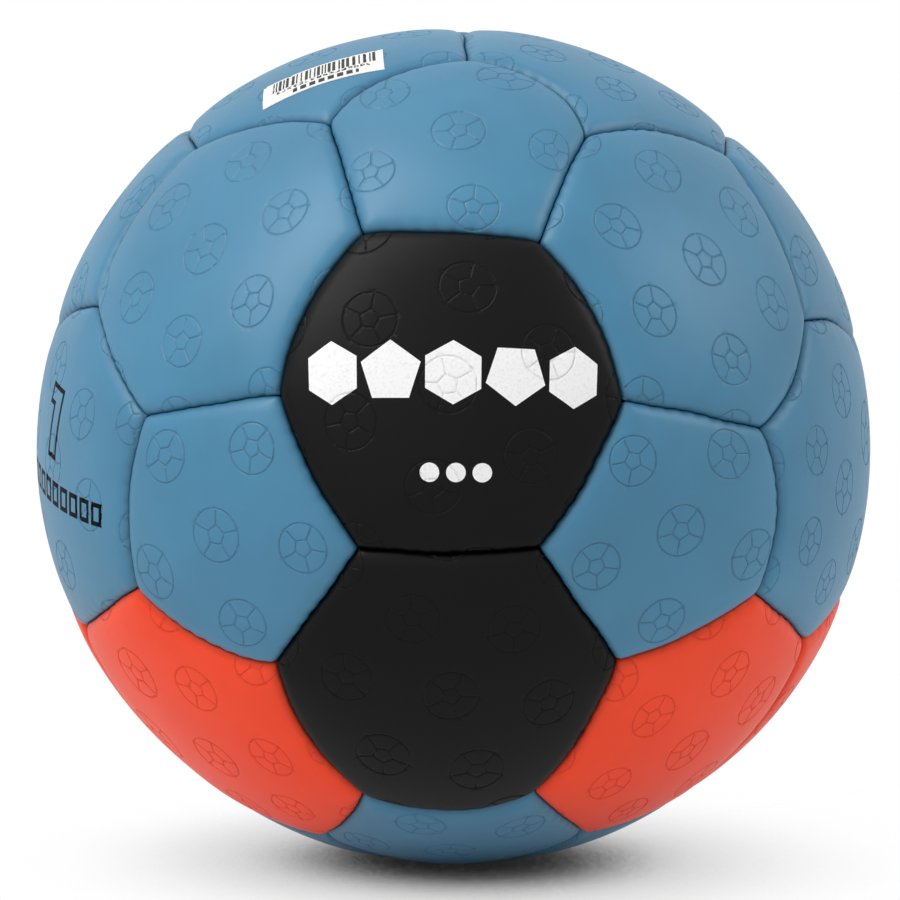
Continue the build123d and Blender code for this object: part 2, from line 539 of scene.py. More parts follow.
# Middles of seams read off the photograph. The others bow a little either way.
READ_MIDDLES: dict[tuple[Corner, Corner], Pixel] = {
    ((1, 2), (1, 3)): (451, 229.5),
    ((1, 2), (2, 1)): (595, 312.5),
    ((2, 1), (2, 3)): (589.5, 477.5),
    ((2, 3), (3, 2)): (449, 554.5),
    ((3, 1), (3, 2)): (311, 477),
    ((1, 3), (3, 1)): (305.5, 305.5),
    ((1, 3), (1, 6)): (343.5, 171),
    ((3, 1), (3, 6)): (205, 404),
    ((3, 6), (6, 3)): (111.5, 361),
    ((6, 1), (6, 3)): (132.5, 219),
    ((1, 6), (6, 1)): (263.5, 122.5),
    ((1, 6), (1, 7)): (391, 74),
    ((1, 4), (1, 7)): (535.5, 77),
    ((1, 4), (4, 1)): (658, 128.5),
    ((4, 1), (4, 2)): (775.5, 229),
    ((2, 4), (4, 2)): (798.5, 374),
    ((2, 1), (2, 4)): (698, 413.5),
    ((1, 2), (1, 4)): (563.5, 182),
    ((3, 6), (3, 9)): (126, 504),
    ((3, 9), (9, 3)): (111.5, 605),
    ((3, 5), (3, 9)): (194, 638.5),
    ((3, 2), (3, 5)): (313, 610.5),
    ((3, 5), (5, 3)): (309, 742.5),
    ((5, 2), (5, 3)): (449, 814),
    ((5, 3), (5, 9)): (351, 816),
    ((2, 3), (2, 5)): (582.5, 609),
    ((2, 5), (5, 2)): (584, 737),
    ((5, 2), (5, 8)): (556.5, 814),
    ((2, 8), (8, 2)): (783.5, 616),
    ((2, 5), (2, 8)): (692, 635.5),
    ((2, 4), (2, 8)): (780, 510.5),
    ((8, 2), (8, 5)): (788, 693),
    ((5, 8), (8, 5)): (637, 822),
    ((5, 9), (9, 5)): (287.5, 826),
    ((9, 3), (9, 5)): (104, 686),
}
READ_MIDDLE_DEPTH = 0.9
MOST_BOW = 10.8  # of a seam seen square on; towards the ball's outline readings are less sure

# The paper label's corners read off the photograph, from the lower left anticlockwise.
LABEL_CORNERS: tuple[Pixel, ...] = ((263.3, 110.3), (384.7, 70), (382.8, 50), (264.7, 89.4))


@dataclass
class Seam:
    """One sewn seam, from its first corner to its second."""

    start: np.ndarray
    end: np.ndarray
    bow: float
    seed: int

    def __post_init__(self) -> None:
        """Works out the direction across the seam and the stitches' unevenness."""
        across = np.cross(self.start, self.end)
        self.across = across / np.linalg.norm(across)
        self.length = SIZES.radius * math.acos(float(self.start @ self.end))
        rng = np.random.default_rng(self.seed)
        self.phases = rng.uniform(0, 2 * math.pi, 3)
        self.strength = rng.uniform(0.7, 1.3)

    def drawn(self, along: np.ndarray) -> np.ndarray:
        """How far sideways the stitches draw the seam.

        Args:
            along: Shares of the way from start to end.

        Returns:
            Sideways distances in millimetres.
        """
        place = (along - 0.5) * self.length
        hold = np.clip(4 * along * (1 - along), 0, 1) ** 0.5
        scallop = np.abs(np.sin(math.pi * place / SIZES.stitch_pitch + self.phases[0])) - 0.6
        drift = np.sin(place / 4.1 + self.phases[1]) + 0.6 * np.sin(place / 2.3 + self.phases[2])
        return hold * (0.15 * self.strength * scallop + 0.13 * drift)

    def path(self, along: np.ndarray) -> np.ndarray:
        """Places points on the seam.

        Args:
            along: Shares of the way from start to end.

        Returns:
            The points' directions from the ball's centre.
        """
        straight = np.outer(1 - along, self.start) + np.outer(along, self.end)
        sideways = 4 * along * (1 - along) * self.bow + self.drawn(along)
        made = straight + np.outer(sideways / SIZES.radius, self.across)
        return made / np.linalg.norm(made, axis=1)[:, None]


@dataclass
class Panel:
    """One panel's place on the ball, with a flat plan that its details are drawn on.

    The plan touches the ball at the panel's middle, with x to the right and y upwards as
    someone outside the ball sees it.
    """

    kind: str
    number: int
    middle: np.ndarray
    corners: list[np.ndarray]
    seams: list[tuple[Seam, bool]]
    turn: float
    apothem: float
    shrink: float  # real millimetres in one of the plan's, square to a seam

    @property
    def name(self) -> str:
        """The CAD node's name."""
        return f"cover_{self.kind}_{self.number:02d}"

    @property
    def sides(self) -> int:
        """How many sides it has."""
        return len(self.corners)

    @property
    def cover(self) -> Cover:
        """Tells which leather it is cut from.

        Returns:
            The leather.
        """
        for cover, numbers in COVERS[self.kind].items():
            if self.number in numbers:
                return cover
        return Cover.BLUE

    def to_sides(self, plan: np.ndarray) -> np.ndarray:
        """Distances in the plan from points to each of the sides."""
        angles = self.turn + (np.arange(self.sides) + 0.5) * 2 * math.pi / self.sides
        return self.apothem - plan @ np.array([np.cos(angles), np.sin(angles)])

    def within(self, plan: np.ndarray, inset: float) -> np.ndarray:
        """Those of the plan's points that lie further than this from every seam."""
        return plan[self.to_sides(plan).min(axis=1) * self.shrink > inset]

    def place(self, plan: np.ndarray) -> dict[str, np.ndarray]:
        """Lays points of the plan on the ball.

        Args:
            plan: Points, one in each row.

        Returns:
            Their directions, their distance to the seam, their place along it, and how
            firmly the stitches hold them.
        """
        gaps = self.to_sides(plan)
        shares = np.ones((len(plan), self.sides))
        for corner in range(self.sides):
            for side in range(self.sides):
                if side not in (corner, (corner - 1) % self.sides):
                    shares[:, corner] *= gaps[:, side]
        shares /= shares.sum(axis=1)[:, None]
        laid = shares @ np.array(self.corners)
        along_all = np.zeros_like(gaps)
        hold_all = np.zeros_like(gaps)
        for side, (seam, flipped) in enumerate(self.seams):
            here = shares[:, side]
            there = shares[:, (side + 1) % self.sides]
            share = there / np.maximum(here + there, 1e-9)
            share = 1 - share if flipped else share
            near = np.exp(-((gaps[:, side] * self.shrink / 1.8) ** 2))
            sideways = 4 * here * there * seam.bow + near * seam.drawn(share)
            laid += np.outer(sideways / SIZES.radius, seam.across)
            along_all[:, side] = (share - 0.5) * seam.length + seam.phases[0]
            hold_all[:, side] = np.clip(4 * share * (1 - share), 0, 1) * seam.strength
        laid /= np.linalg.norm(laid, axis=1)[:, None]
        nearest = gaps.argmin(axis=1)
        row = np.arange(len(plan))
        blunt = 0.5
        real = gaps * self.shrink
        smallest = real.min(axis=1)
        crowd = np.exp(-(real - smallest[:, None]) / blunt).sum(axis=1)
        return {
            "direction": laid,
            "seam": np.maximum(smallest - blunt * np.log(crowd), 0.0),
            "along": along_all[row, nearest],
            "hold": hold_all[row, nearest],
        }

    def ring(
        self, inset: float, rounding: float, per_side: int, per_corner: int = 5
    ) -> np.ndarray:
        """Points of the plan round the panel at one distance from the seams.

        Args:
            inset: Real distance from the seams.
            rounding: Radius at the corners.
            per_side: How many points a side has.
            per_corner: How many steps a corner has.

        Returns:
            The points, anticlockwise.
        """
        half_turn = math.pi / self.sides
        reach = self.apothem - inset / self.shrink
        rounding = min(rounding, 0.5 * reach)
        straight = (reach - rounding) * math.tan(half_turn)
        points = []
        for side in range(self.sides):
            facing = self.turn + (2 * side + 1) * half_turn
            out = np.array([math.cos(facing), math.sin(facing)])
            over = np.array([-out[1], out[0]])
            for step in np.linspace(-straight, straight, per_side, endpoint=False):
                points.append(out * reach + over * step)
            hub = (reach - rounding) * out + over * straight
            for step in range(per_corner):
                angle = facing + 2 * half_turn * step / per_corner
                points.append(hub + rounding * np.array([math.cos(angle), math.sin(angle)]))
        return np.array(points)

    def grid(self, step: float, inset: float, hole: float, margin: float) -> np.ndarray:
        """A square grid of points inside the panel.

        Args:
            step: Between two points.
            inset: How far from the seams it ends.
            hole: Radius of a hole in the middle, or 0.
            margin: How far from such a hole it starts.

        Returns:
            The points, row by row.
        """
        reach = math.ceil(1.3 * self.apothem / step)
        steps = np.arange(-reach, reach + 1) * step
        made = np.stack(np.meshgrid(steps, steps), axis=-1).reshape(-1, 2)
        made = self.within(made, inset)
        return made[np.linalg.norm(made, axis=1) > hole + margin] if hole else made


class Layout:
    """Where the 20 hexagons and 12 pentagons, their corners and their seams lie."""

    def __init__(self, camera: PhotoCamera) -> None:
        """Lays out the ball.

        Args:
            camera: The photograph's camera, for the corners that were read off it.
        """
        self.camera = camera
        self.hexagons, self.pentagons = self.middles()
        self.corners = self.place_corners()
        self.seams: dict[tuple[Corner, Corner], Seam] = {}
        self.panels = [
            self.panel(kind, number, middle)
            for kind, middles in (("hexagon", self.hexagons), ("pentagon", self.pentagons))
            for number, middle in enumerate(middles, start=1)
        ]

    def middles(self) -> tuple[list[np.ndarray], list[np.ndarray]]:
        """Places the panels' middles, numbered outwards from the front.

        Returns:
            The middles of the hexagons and of the pentagons.
        """
        golden = (1 + math.sqrt(5)) / 2
        points = []
        for one in (-1, 1):
            for two in (-golden, golden):
                points += [(0, one, two), (one, two, 0), (two, 0, one)]
        solid = np.array(points, float)
        trios = [
            trio
            for trio in combinations(range(len(points)), 3)
            if all(np.linalg.norm(solid[a] - solid[b]) < 2.2 for a, b in combinations(trio, 2))
        ]
        hexagons = [solid[list(trio)].sum(axis=0) for trio in trios]
        hexagons = [middle / np.linalg.norm(middle) for middle in hexagons]
        pentagons = [middle / np.linalg.norm(middle) for middle in solid]
        front = hexagons[0]
        above = solid[trios[0][0]]
        level_up = above - front * (above @ front)
        level_up /= np.linalg.norm(level_up)
        right = np.cross(level_up, front)
        lift = math.radians(SIZES.front_lift)
        up = level_up * math.cos(lift) + front * math.sin(lift)
        turned = np.array([right, np.cross(up, right), up])

        def order(middle: np.ndarray) -> tuple[float, float]:
            """Sorts by the distance from the front, then clockwise from the top.

            Args:
                middle: A panel's middle.

            Returns:
                Its distance, and its place clockwise.
            """
            out = math.degrees(math.acos(np.clip(front @ middle, -1, 1)))
            clock = math.degrees(math.atan2(middle @ right, middle @ level_up))
            return round(out, 2), round(clock, 2) % 360

        return (
            [turned @ middle for middle in sorted(hexagons, key=order)],
            [turned @ middle for middle in sorted(pentagons, key=order)],
        )

    def place_corners(self) -> dict[Corner, np.ndarray]:
        """Directions of the 60 corners.

        Returns:
            Where the photograph shows them, and otherwise as evenly laid out as those let them.
        """
        made = {}
        for one, here in enumerate(self.pentagons, start=1):
            for two, there in enumerate(self.pentagons, start=1):
                if one == two or here @ there < 0.4:
                    continue
                corner = 2 * here + there
                made[(one, two)] = corner / np.linalg.norm(corner)
        moves = {}
        for corner, pixel in READ_CORNERS.items():
            read = self.camera.on_ball(pixel, SIZES.radius - READ_CORNER_DEPTH)
            moves[corner] = read - made[corner]
        for corner, even in made.items():
            if corner in moves:
                made[corner] = even + moves[corner]
                continue
            gaps = {
                other: math.acos(float(np.clip(even @ made[other], -1, 1))) for other in moves
            }
            weights = {other: math.exp(-((gap / 0.4) ** 2)) for other, gap in gaps.items()}
            total = sum(weights.values()) + 0.5
            drawn = sum(weights[other] * moves[other] for other in moves) / total
            made[corner] = (even + drawn) / np.linalg.norm(even + drawn)
        return made

    def seam(self, one: Corner, two: Corner) -> tuple[Seam, bool]:
        """Finds the seam between two corners, or makes it.

        Args:
            one: A corner.
            two: The next corner.

        Returns:
            The seam, and whether it runs from the second to the first.
        """
        key = (min(one, two), max(one, two))
        if key not in self.seams:
            number = len(self.seams)
            start, end = self.corners[key[0]], self.corners[key[1]]
            across = np.cross(start, end)
            across /= np.linalg.norm(across)
            if key in READ_MIDDLES:
                read = self.camera.on_ball(READ_MIDDLES[key], SIZES.radius - READ_MIDDLE_DEPTH)
                facing = float((start + end) @ self.camera.axes()[2]) / 2
                most = max(0.0, MOST_BOW * facing)
                bow = max(-most, min(most, float(read @ across) * SIZES.radius))
            else:
                bow = float(np.random.default_rng(500 + number).normal(0, 0.8))
            self.seams[key] = Seam(start, end, bow, number)
        return self.seams[key], key[0] != one

    def panel(self, kind: str, number: int, middle: np.ndarray) -> Panel:
        """Gathers a panel's corners and seams, anticlockwise from the outside.

        Args:
            kind: Hexagon or pentagon.
            number: Its number.
            middle: Its direction.

        Returns:
            The panel.
        """
        right = np.cross((0.0, 0.0, 1.0), middle)
        right /= np.linalg.norm(right)
        up = np.cross(middle, right)
        sides = 6 if kind == "hexagon" else 5

        def even(corner: Corner) -> np.ndarray:
            """The corner in the even layout."""
            one, two = (self.pentagons[place - 1] for place in corner)
            return (2 * one + two) / np.linalg.norm(2 * one + two)

        near = sorted(self.corners, key=lambda corner: -float(even(corner) @ middle))[:sides]
        angles = {
            corner: math.atan2(even(corner) @ up, even(corner) @ right) for corner in near
        }
        near.sort(key=lambda corner: angles[corner])
        reach = math.acos(float(even(near[0]) @ middle))
        plan_reach = SIZES.radius * math.tan(reach)
        apothem = plan_reach * math.cos(math.pi / sides)
        return Panel(
            kind=kind,
            number=number,
            middle=middle,
            corners=[self.corners[corner] for corner in near],
            seams=[self.seam(near[i], near[(i + 1) % sides]) for i in range(sides)],
            turn=angles[near[0]],
            apothem=apothem,
            shrink=math.cos(math.atan(apothem / SIZES.radius)) ** 2,
        )

# Meshes


class Skin:
    """Points and faces of closed layers, before the form rule lifts them off the unit ball."""

    ATTRIBUTES = ("seam", "along", "hold", "groove", "inward")

    def __init__(self) -> None:
        """Starts with nothing."""
        self.points: list[np.ndarray] = []
        self.values: dict[str, list[np.ndarray]] = {name: [] for name in self.ATTRIBUTES}
        self.faces: list[tuple[int, ...]] = []
        self.inked: list[bool] = []
        self.count = 0

    def add_points(
        self,
        panel: Panel,
        plan: np.ndarray,
        inward: float,
        groove: np.ndarray | None = None,
        seam: float | None = None,
    ) -> int:
        """Adds points of a panel's plan.

        Args:
            panel: The panel.
            plan: The points.
            inward: How far below the leather's surface they lie.
            groove: How deep each lies in a pressed mark, from 0 to 1.
            seam: A distance to the seam to give them all in place of their own.

        Returns:
            The first new point's index.
        """
        laid = panel.place(plan)
        first = self.count
        self.count += len(plan)
        self.points.append(laid["direction"])
        self.values["seam"].append(
            laid["seam"] if seam is None else np.full(len(plan), float(seam))
        )
        self.values["along"].append(laid["along"])
        self.values["hold"].append(laid["hold"] * (seam != FAR_IN))
        self.values["groove"].append(np.zeros(len(plan)) if groove is None else groove)
        self.values["inward"].append(np.full(len(plan), float(inward)))
        return first

    def add_faces(self, faces: np.ndarray, inked: bool = False) -> None:
        """Adds faces that share one material."""
        self.faces.extend(map(tuple, faces.tolist()))
        self.inked.extend([inked] * len(faces))

    def bridge(self, upper: np.ndarray, lower: np.ndarray, turned: bool = False) -> None:
        """Joins two rings of as many points with a wall.

        Args:
            upper: The ring nearer the surface, anticlockwise.
            lower: The other ring.
            turned: Whether the wall faces the ring's middle.
        """
        walls = np.stack([upper, lower, np.roll(lower, -1), np.roll(upper, -1)], axis=1)
        self.add_faces(walls[:, ::-1] if turned else walls)

    def build(self, name: str) -> bpy.types.Object:
        """Makes the object, still on the unit ball.

        Args:
            name: Its name.

        Returns:
            The object, with the points' values as attributes.
        """
        mesh = bpy.data.meshes.new(name)
        mesh.from_pydata(np.concatenate(self.points).tolist(), [], self.faces)
        for label, parts in self.values.items():
            attribute = mesh.attributes.new(label, "FLOAT", "POINT")
            attribute.data.foreach_set("value", np.concatenate(parts).astype(np.float32))
        attribute = mesh.attributes.new("inked", "BOOLEAN", "FACE")
        attribute.data.foreach_set("value", np.array(self.inked, bool))
        return put(name, mesh)


def gather(parts: Sequence[np.ndarray]) -> tuple[np.ndarray, list[range]]:
    """Puts loops of points after one another, and says where each of them is."""
    ends = np.cumsum([len(part) for part in parts]).tolist()
    return np.concatenate(parts), [range(end - len(part), end) for part, end in zip(parts, ends)]


def triangles(
    points: np.ndarray, loops: Sequence[Sequence[int]], hole: float
) -> tuple[np.ndarray, np.ndarray, np.ndarray]:
    """Triangulates the inside of an outline.

    Args:
        points: All points of the plan.
        loops: Indices of the points round the outline, and then round each shape whose edge
            the triangles must keep.
        hole: Radius of a round hole in the middle, or 0. No triangle is left in it.

    Returns:
        The points, the triangles, and where each given point went.
    """
    edges = [
        (loop[i], loop[(i + 1) % len(loop)]) for loop in loops[1:] for i in range(len(loop))
    ]
    vectors = [Vector(point) for point in points.tolist()]
    made = delaunay_2d_cdt(vectors, edges, [list(loops[0])], 1, 1e-5)
    places = np.array([tuple(point) for point in made[0]], float)
    corners = np.array([tuple(face) for face in made[2]], int)
    one, two, three = (places[corners[:, i]] for i in range(3))
    area = np.cross(two - one, three - one)
    corners[area < 0] = corners[area < 0][:, ::-1]
    went = np.full(len(points), -1)
    for place, given in enumerate(made[3]):
        went[list(given)] = place
    if hole:
        centres = places[corners].mean(axis=1)
        corners = corners[np.linalg.norm(centres, axis=1) > 0.995 * hole]
    return places, corners, went


def inside(points: np.ndarray, loops: Sequence[np.ndarray]) -> np.ndarray:
    """Tells which points lie inside an odd number of loops.

    Args:
        points: Points of a plan.
        loops: Outlines in it.

    Returns:
        True for each such point.
    """
    odd = np.zeros(len(points), bool)
    for loop in loops:
        for start, end in zip(loop, np.roll(loop, -1, axis=0)):
            spans = (start[1] > points[:, 1]) != (end[1] > points[:, 1])
            rise = end[1] - start[1] if end[1] != start[1] else 1e-12
            cross = start[0] + (points[:, 1] - start[1]) * (end[0] - start[0]) / rise
            odd ^= spans & (points[:, 0] < cross)
    return odd


def regular(sides: int, radius: float, middle: Pixel, turn: float) -> np.ndarray:
    """Corners of a regular shape.

    Args:
        sides: How many corners it has.
        radius: From its middle to a corner.
        middle: Its middle.
        turn: The first corner's angle, in degrees.

    Returns:
        The corners, anticlockwise.
    """
    angles = math.radians(turn) + np.arange(sides) * 2 * math.pi / sides
    return np.array(middle) + radius * np.array([np.cos(angles), np.sin(angles)]).T


def offset(loop: np.ndarray, inwards: float) -> np.ndarray:
    """Moves each side of a simple outline inwards by the same distance.

    Args:
        loop: The outline, anticlockwise.
        inwards: The distance.

    Returns:
        The new outline.
    """
    before = loop - np.roll(loop, 1, axis=0)
    after = np.roll(loop, -1, axis=0) - loop
    before /= np.linalg.norm(before, axis=1)[:, None]
    after /= np.linalg.norm(after, axis=1)[:, None]
    normal_before = np.array([-before[:, 1], before[:, 0]]).T
    normal_after = np.array([-after[:, 1], after[:, 0]]).T
    both = normal_before + normal_after
    return loop + inwards * both / (1 + (normal_before * normal_after).sum(axis=1))[:, None]


def finely(loop: np.ndarray, step: float) -> np.ndarray:
    """Adds points along the sides of an outline, no further apart than step.

    Args:
        loop: The outline.
        step: The distance.

    Returns:
        The outline with the points added.
    """
    made = []
    for start, end in zip(loop, np.roll(loop, -1, axis=0)):
        count = max(1, math.ceil(float(np.linalg.norm(end - start)) / step))
        made += [start + (end - start) * i / count for i in range(count)]
    return np.array(made)


@dataclass
class PressedMark:
    """A plain ball sign pressed into the leather: a ring, a pentagon in it and five spokes."""

    middle: np.ndarray
    turn: float
    ring: float = 5.0
    pentagon: float = 1.9
    half_line: float = 0.17

    def lines(self) -> list[tuple[np.ndarray, np.ndarray]]:
        """Works out the mark's straight lines.

        Returns:
            Ends of the pentagon's sides and of the spokes.
        """
        inner = regular(5, self.pentagon, tuple(self.middle), self.turn)
        outer = regular(5, self.ring, tuple(self.middle), self.turn)
        made = list(zip(inner, np.roll(inner, -1, axis=0)))
        return made + list(zip(inner, outer))

    def points(self, step: float = 0.5) -> np.ndarray:
        """Points in five rows along every line, so that the groove is even and its sides flat.

        Args:
            step: Distance along the lines.

        Returns:
            The points.
        """
        rows = np.linspace(-2 * self.half_line, 2 * self.half_line, 5)
        made = []
        count = round(2 * math.pi * self.ring / step)
        for row in rows:
            made.append(regular(count, self.ring + row, tuple(self.middle), self.turn))
        for start, end in self.lines():
            way = end - start
            length = float(np.linalg.norm(way))
            across = np.array([-way[1], way[0]]) / length
            steps = np.linspace(0, 1, max(2, round(length / step)) + 1)
            for row in rows:
                made.append(start + np.outer(steps, way) + across * row)
        return np.concatenate(made)

    def groove(self, points: np.ndarray) -> np.ndarray:
        """How deep points lie in the mark.

        Args:
            points: Points of the plan.

        Returns:
            From 0 outside its lines to 1 in the middle of one.
        """
        near = np.linalg.norm(points - self.middle, axis=1)
        gap = np.abs(near - self.ring)
        for start, end in self.lines():
            way = end - start
            share = np.clip((points - start) @ way / (way @ way), 0, 1)
            gap = np.minimum(gap, np.linalg.norm(points - start - np.outer(share, way), axis=1))
        rise = np.clip(1 - gap / self.half_line, 0, 1)
        return rise * rise * (3 - 2 * rise)


@dataclass
class Print:
    """What is printed on one panel, as outlines in its plan."""

    ink: str
    loops: list[np.ndarray]


def front_print() -> Print:
    """Draws the print of the front panel.

    Returns:
        White hexagons and pentagons in a row, with three dots below.
    """
    pitch, radius, height = 10.95, 5.6, 2.6
    loops = []
    for place in range(5):
        sides, turn = (6, 90.0) if place % 2 == 0 else (5, 90.0 if place == 1 else -90.0)
        middle = ((place - 2) * pitch + 0.6, height)
        loops.append(finely(regular(sides, radius, middle, turn), 0.9))
    dot, dot_pitch, dot_height = 1.75, 4.7, -14.9
    for place in (-1, 0, 1):
        loops.append(regular(28, dot, (place * dot_pitch + 1.2, dot_height), 0.0))
    return Print(WHITE_INK, loops)


def side_print() -> Print:
    """Draws the print of the left panel.

    Returns:
        The size numeral over a row of plain blocks, all in outline.
    """
    stroke, lean = 0.95, math.radians(-6.0)
    left, low, height, stem, tab, tab_height = -4.9, 1.5, 13.6, 5.0, 2.6, 4.2
    numeral = np.array(
        [
            (left + tab, low),
            (left + tab + stem, low),
            (left + tab + stem, low + height),
            (left, low + height),
            (left, low + height - tab_height),
            (left + tab, low + height - tab_height),
        ]
    )
    width, tall, pitch, row_left, row_low, count = 3.7, 4.6, 4.6, -17.0, -6.9, 9
    corners = np.array([(0.0, 0.0), (width, 0.0), (width, tall), (0.0, tall)])
    blocks = [corners + (row_left + pitch * place, row_low) for place in range(count)]
    turned = np.array([[math.cos(lean), math.sin(lean)], [-math.sin(lean), math.cos(lean)]])
    loops = []
    for outline in (numeral, *blocks):
        outline = outline @ turned
        loops += [finely(outline, 0.9), finely(offset(outline, stroke), 0.9)]
    return Print(BLACK_INK, loops)


PRINTS = {"cover_hexagon_01": front_print, "cover_hexagon_09": side_print}


@dataclass
class CoverPanel:
    """A leather panel with its turned-in edge, pressed marks and print."""

    panel: Panel
    finishes: Finishes
    form: "SewnForm"
    valve_hole: float = 0.0
    spacing: float = 1.15
    per_side: int = 60

    # Rows of points along the seams: how far in, and how many a side has.
    ROWS = (
        (0.32, 60),
        (0.55, 56),
        (0.85, 52),
        (1.25, 46),
        (1.75, 40),
        (2.35, 34),
        (3.1, 30),
        (4.1, 26),
    )

    def marks(self) -> list[PressedMark]:
        """Lays pressed marks in rings round the panel's middle.

        Returns:
            The marks.
        """
        rng = np.random.default_rng(40 * self.panel.sides + self.panel.number)
        start = rng.uniform(0, 2 * math.pi)
        made = [PressedMark(rng.uniform(-1, 1, 2), rng.uniform(0, 72))]
        sides = self.panel.sides
        for count, pitch in ((sides, 18.6), (2 * sides - 3, 34.5)):
            for place in range(count):
                angle = start + 2 * math.pi * place / count
                way = np.array([math.cos(angle), math.sin(angle)])
                middle = way * pitch + rng.uniform(-0.8, 0.8, 2)
                made.append(PressedMark(middle, rng.uniform(0, 72)))
        if self.valve_hole:
            made = made[1:]
        gap = [float(self.panel.to_sides(mark.middle[None]).min()) for mark in made]
        return [mark for mark, room in zip(made, gap) if room > -4.0]

    def free_points(self, marks: Sequence[PressedMark], kept: np.ndarray) -> np.ndarray:
        """Points inside the panel: close rows at the seams, the marks' rows and a plain grid.

        Args:
            marks: The pressed marks.
            kept: Points that are there already.

        Returns:
            New points, none of them on top of another.
        """
        panel = self.panel
        pressed = panel.within(np.concatenate([mark.points() for mark in marks]), 0.45)
        rows = [
            panel.ring(inset, SIZES.corner_rounding + 0.6 * inset, per_side)
            for inset, per_side in self.ROWS
        ]
        reach = math.ceil(panel.apothem / math.cos(math.pi / panel.sides) / self.spacing)
        steps = np.arange(-reach, reach + 1)
        across, up = np.meshgrid(steps, steps)
        grid = np.array([(across + 0.5 * (up % 2)).ravel(), (up * math.sqrt(0.75)).ravel()]).T
        grid = panel.within(grid * self.spacing, 4.8)
        made = np.concatenate([kept, pressed, *rows, grid])
        cell = np.floor(made / 0.1).astype(np.int64)
        _, first = np.unique(cell, axis=0, return_index=True)
        first = np.sort(first)
        made = made[first[first >= len(kept)]]
        if self.valve_hole:
            made = made[np.linalg.norm(made, axis=1) > self.valve_hole + 0.3]
        return made

    def build(self) -> bpy.types.Object:
        """Builds the closed leather shell and dresses it.

        Returns:
            The finished piece.
        """
        panel = self.panel
        printed = PRINTS[panel.name]() if panel.name in PRINTS else Print(WHITE_INK, [])
        marks = self.marks()
        rim = panel.ring(SIZES.seam_gap / 2, SIZES.corner_rounding, self.per_side)
        hole = [regular(40, self.valve_hole, (0.0, 0.0), 0.0)] if self.valve_hole else []
        kept, loops = gather([rim, *printed.loops, *hole])
        points = np.concatenate([kept, self.free_points(marks, kept)])
        places, corners, went = triangles(points, loops, self.valve_hole)
        groove = np.zeros(len(places))
        for mark in marks:
            near = np.linalg.norm(places - mark.middle, axis=1) < mark.ring + 1
            groove[near] = np.maximum(groove[near], mark.groove(places[near]))
        skin = Skin()
        skin.add_points(panel, places, 0.0, groove)
        inked = inside(places[corners].mean(axis=1), printed.loops)
        skin.add_faces(corners[~inked])
        skin.add_faces(corners[inked], True)
        outside = [went[list(loop)] for loop in (loops[0], *loops[len(loops) - len(hole) :])]
        self.line(skin, outside, rim, hole)
        made = skin.build(panel.name.replace("cover", "leather"))
        ink = self.finishes.plain[printed.ink]
        self.form.apply(made, Stuff=self.finishes.leather[panel.cover], Ink=ink)
        return settle(made, panel.name)

    def line(
        self,
        skin: Skin,
        outside: Sequence[np.ndarray],
        rim: np.ndarray,
        hole: Sequence[np.ndarray],
    ) -> None:
        """Adds the turned-in edge and the leather's back, which close the shell.

        Args:
            skin: The shell so far.
            outside: Where the rim's and the hole's points are in it.
            rim: The rim's points.
            hole: The valve hole's points, if it has one.
        """
        panel = self.panel
        at_rim = SIZES.seam_gap / 2
        pocket = panel.ring(at_rim + SIZES.leather, SIZES.corner_rounding, self.per_side)
        upper = outside[0]
        for plan, inward in (
            (rim, 0.5),
            (rim, 1.4),
            (rim, SIZES.turned_in),
            (pocket, SIZES.turned_in),
        ):
            lower = skin.add_points(panel, plan, inward, seam=at_rim) + np.arange(len(plan))
            skin.bridge(upper, lower)
            upper = lower
        kept, loops = gather([pocket, *hole])
        points = np.concatenate([kept, panel.grid(4.0, 3.0, self.valve_hole, 1.5)])
        places, corners, went = triangles(points, loops, self.valve_hole)
        first = skin.add_points(panel, places, SIZES.leather)
        skin.add_faces(corners[:, ::-1] + first)
        inner = [went[list(loop)] + first for loop in loops]
        skin.bridge(inner[0], upper, turned=True)
        for above, below in zip(outside[1:], inner[1:]):
            skin.bridge(above, below, turned=True)


